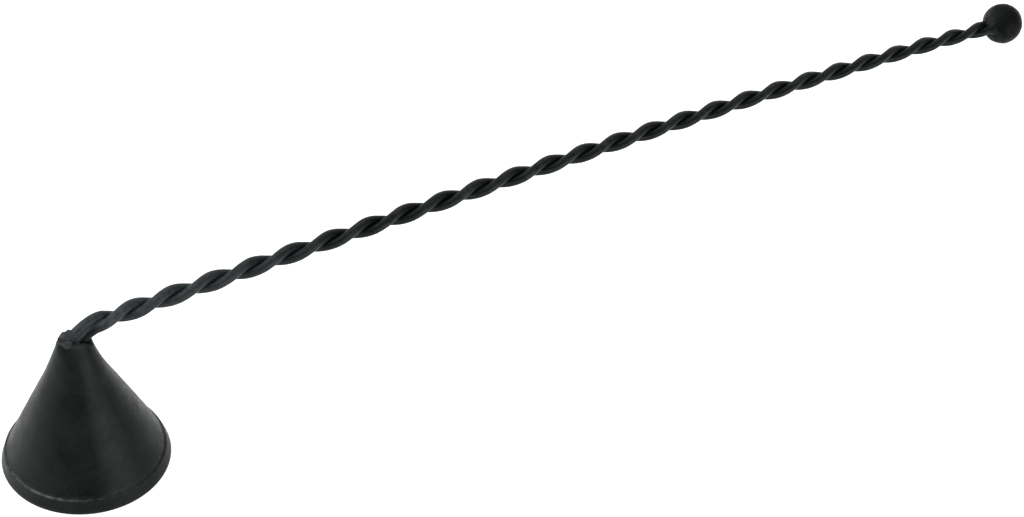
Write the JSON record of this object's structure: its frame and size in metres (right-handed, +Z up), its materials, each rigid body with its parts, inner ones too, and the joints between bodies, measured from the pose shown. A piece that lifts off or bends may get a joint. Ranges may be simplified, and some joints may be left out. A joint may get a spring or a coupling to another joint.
{
  "type": "candle snuffer",
  "caption": "Candle snuffer: flared sheet-metal bell with a hemmed rim on a long handle of two twisted rods that ends in a ball.",
  "frame": {"origin": "centre of the bell's rim, on the surface that the snuffer rests on", "axes": "+Z up along the bell's axis, +X along the handle from the bell to the ball, +Y to the left when looking along +X"},
  "size_m": [0.3053, 0.0382, 0.0387],
  "materials": {
    "bell_iron": "satin black paint, softly mottled, worn a little along the hem and the lip",
    "rod_iron": "satin black paint over slightly scaly rod",
    "ball_iron": "satin black paint, mottled and faintly pitted",
    "weld_iron": "matt black, uneven weld surface"
  },
  "bodies": {
    "root": {"snuffer_bell": "bell_iron", "twisted_rod_upper": "rod_iron", "twisted_rod_lower": "rod_iron", "ball_end": "ball_iron", "neck_weld": "weld_iron", "ball_weld": "weld_iron"}
  },
  "joints": []
}
